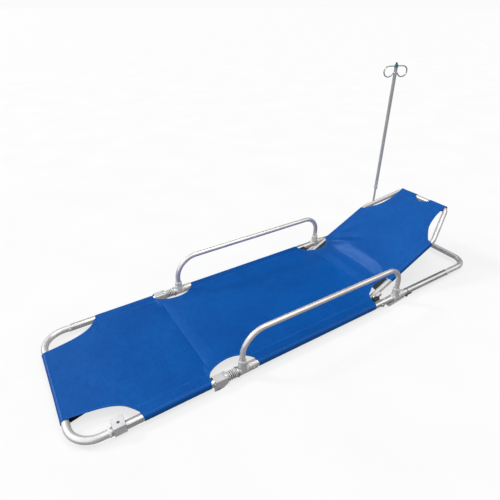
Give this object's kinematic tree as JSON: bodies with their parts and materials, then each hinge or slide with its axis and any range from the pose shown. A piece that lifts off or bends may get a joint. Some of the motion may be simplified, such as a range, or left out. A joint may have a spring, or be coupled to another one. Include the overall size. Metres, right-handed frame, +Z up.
{
  "type": "folding stretcher",
  "caption": "Folding stretcher: a low tubular aluminium frame with a blue canvas bed, side rails, an adjustable backrest, a fold-under foot end and head loop, and a telescopic drip pole.",
  "frame": {"origin": "on the floor under the middle of the stretcher's bounding box", "axes": "+X along the stretcher towards the head, +Y to the far side (the drip pole's side), +Z up"},
  "size_m": [1.898, 0.5878, 0.8844],
  "materials": {
    "side_tube": "drawn, satin",
    "end_tube": "drawn, satin",
    "backrest_tube": "drawn, satin",
    "rail_tube": "drawn, satin",
    "pole_tube": "drawn, satin",
    "cast_fitting": "cast, tumbled",
    "cast_socket": "cast, tumbled",
    "collar": "turned",
    "hinge_steel": "zinc plated",
    "spring_steel": "zinc plated wire",
    "lock_ring": "turned",
    "fastener_steel": "zinc plated",
    "white_ring": "moulded",
    "black_ratchet": "black, semi-matt",
    "canvas": "coated woven cloth",
    "teal_cap": "moulded",
    "dark_ball": "moulded",
    "hook_wire": "plated wire",
    "grey_nylon": "moulded"
  },
  "bodies": {
    "mid_frame": {"mid_side_tube_near": "side_tube", "mid_side_tube_far": "side_tube", "fold_bracket_near": "cast_fitting", "fold_bracket_far": "cast_fitting", "foot_fold_pins": "fastener_steel", "lock_spring_near": "spring_steel", "lock_spring_far": "spring_steel", "foot_collar_near": "collar", "foot_collar_far": "collar", "head_collar_near": "collar", "head_collar_far": "collar", "collar_rivets": "fastener_steel", "head_hinge_leaf_near": "hinge_steel", "head_hinge_leaf_far": "hinge_steel", "head_fold_pins": "fastener_steel", "ratchet_plate_near": "black_ratchet", "ratchet_plate_far": "black_ratchet", "ratchet_bolts": "fastener_steel", "backrest_pivot_pins": "fastener_steel", "canvas_mid": "canvas"},
    "lock_near": {"lock_ring_near": "lock_ring"},
    "lock_far": {"lock_ring_far": "lock_ring"},
    "foot_section": {"foot_end_tube": "end_tube", "foot_side_tube_near": "side_tube", "foot_side_tube_far": "side_tube", "foot_fold_lug_near": "cast_fitting", "foot_fold_lug_far": "cast_fitting", "foot_end_rings": "white_ring", "foot_pole_socket": "cast_socket", "canvas_foot": "canvas"},
    "head_loop": {"head_end_tube": "end_tube", "head_side_tube_near": "side_tube", "head_side_tube_far": "side_tube", "loop_hinge_leaf_near": "hinge_steel", "loop_hinge_leaf_far": "hinge_steel", "head_end_rings": "white_ring", "head_pole_socket": "cast_socket"},
    "backrest": {"backrest_tube": "backrest_tube", "ratchet_disc_near": "backrest_tube", "ratchet_disc_far": "backrest_tube", "canvas_back": "canvas"},
    "rail_near_body": {"rail_foot_fitting_near": "cast_fitting", "rail_head_fitting_near": "cast_fitting", "rail_tube_near": "rail_tube", "rail_rivets_near": "fastener_steel"},
    "rail_far_body": {"rail_foot_fitting_far": "cast_fitting", "rail_head_fitting_far": "cast_fitting", "rail_tube_far": "rail_tube", "rail_rivets_far": "fastener_steel"},
    "pole_lower": {"pole_rod": "pole_tube", "pole_stop_ring": "grey_nylon", "rod_guide": "grey_nylon"},
    "pole_upper": {"pole_tube": "pole_tube", "pole_bush": "grey_nylon", "pole_cap": "teal_cap", "pole_ball": "dark_ball", "drip_hook_foot": "hook_wire", "drip_hook_head": "hook_wire"}
  },
  "joints": [
    {"name": "foot_fold", "type": "hinge", "parent": "mid_frame", "child": "foot_section", "pos_m": [-0.462, 0, 0.0055], "axis": [0, -1, 0], "range_deg": [0, 178]},
    {"name": "head_fold", "type": "hinge", "parent": "mid_frame", "child": "head_loop", "pos_m": [0.496, 0, 0.0055], "axis": [0, 1, 0], "range_deg": [0, 178]},
    {"name": "backrest_tilt", "type": "hinge", "parent": "mid_frame", "child": "backrest", "pos_m": [0.349, 0, 0.016], "axis": [0, -1, 0], "range_deg": [-22, 49]},
    {"name": "rail_near_swing", "type": "hinge", "parent": "mid_frame", "child": "rail_near_body", "pos_m": [0, -0.274, 0.025], "axis": [1, 0, 0], "range_deg": [0, 90]},
    {"name": "rail_far_swing", "type": "hinge", "parent": "mid_frame", "child": "rail_far_body", "pos_m": [0, 0.274, 0.025], "axis": [-1, 0, 0], "range_deg": [0, 90]},
    {"name": "pole_lift", "type": "slide", "parent": "head_loop", "child": "pole_lower", "axis": [0, 0, 1], "range_m": [0, 0.029]},
    {"name": "pole_extend", "type": "slide", "parent": "pole_lower", "child": "pole_upper", "axis": [0, 0, 1], "range_m": [-0.18, 0.3]},
    {"name": "lock_near_release", "type": "slide", "parent": "mid_frame", "child": "lock_near", "axis": [-1, 0, 0], "range_m": [0, 0.005], "stiffness_N_per_m": 1500, "springref_m": -0.004, "deforming": ["lock_spring_near"]},
    {"name": "lock_far_release", "type": "slide", "parent": "mid_frame", "child": "lock_far", "axis": [-1, 0, 0], "range_m": [0, 0.005], "stiffness_N_per_m": 1500, "springref_m": -0.004, "deforming": ["lock_spring_far"]}
  ]
}
